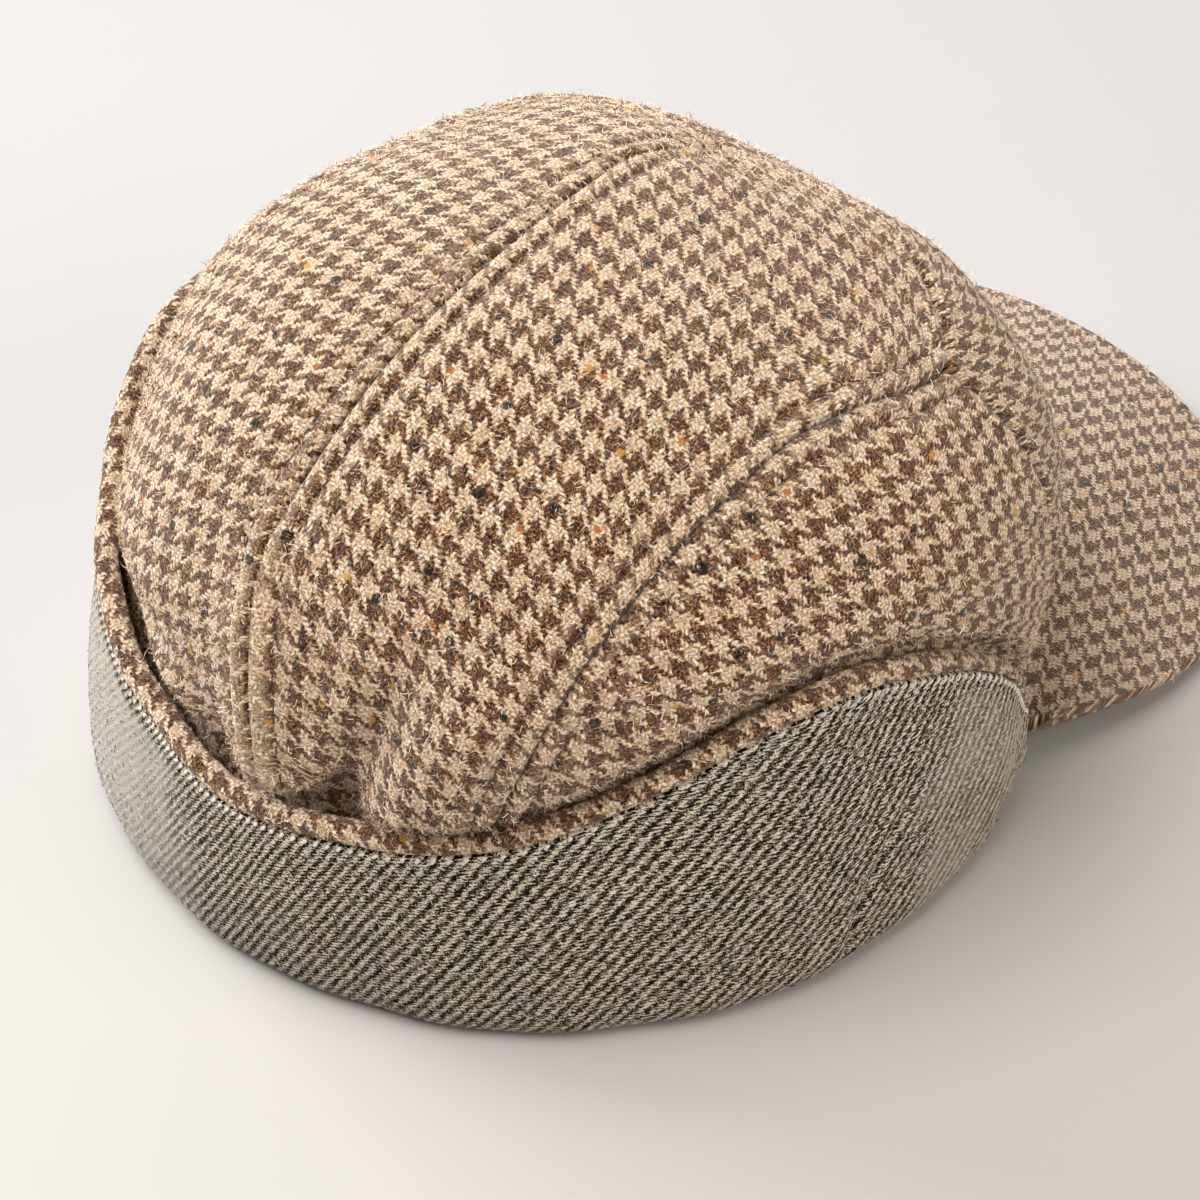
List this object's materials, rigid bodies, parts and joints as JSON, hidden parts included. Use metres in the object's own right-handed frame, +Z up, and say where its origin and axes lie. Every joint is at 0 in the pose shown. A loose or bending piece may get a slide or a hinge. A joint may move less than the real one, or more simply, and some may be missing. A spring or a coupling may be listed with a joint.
{
  "type": "earflap cap",
  "caption": "Soft tweed cap with a rounded panelled crown, a stiff peak and an earflap band turned up over the back and sides, showing its grey twill face.",
  "frame": {"origin": "bottom centre of the whole cap's box, on the surface it lies on", "axes": "+Z up, -Y towards the front of the peak, +X towards the wearer's left"},
  "size_m": [0.1894, 0.2826, 0.141],
  "materials": {
    "houndstooth_tweed": "napped wool, brown and cream houndstooth",
    "grey_twill": "brushed wool twill, grey"
  },
  "bodies": {
    "root": {"crown_top_right": "houndstooth_tweed", "crown_top_left": "houndstooth_tweed", "crown_side_right": "houndstooth_tweed", "crown_side_left": "houndstooth_tweed", "crown_front": "houndstooth_tweed", "peak": "houndstooth_tweed", "earflap_lining": "grey_twill", "earflap_shell": "houndstooth_tweed"}
  },
  "joints": []
}
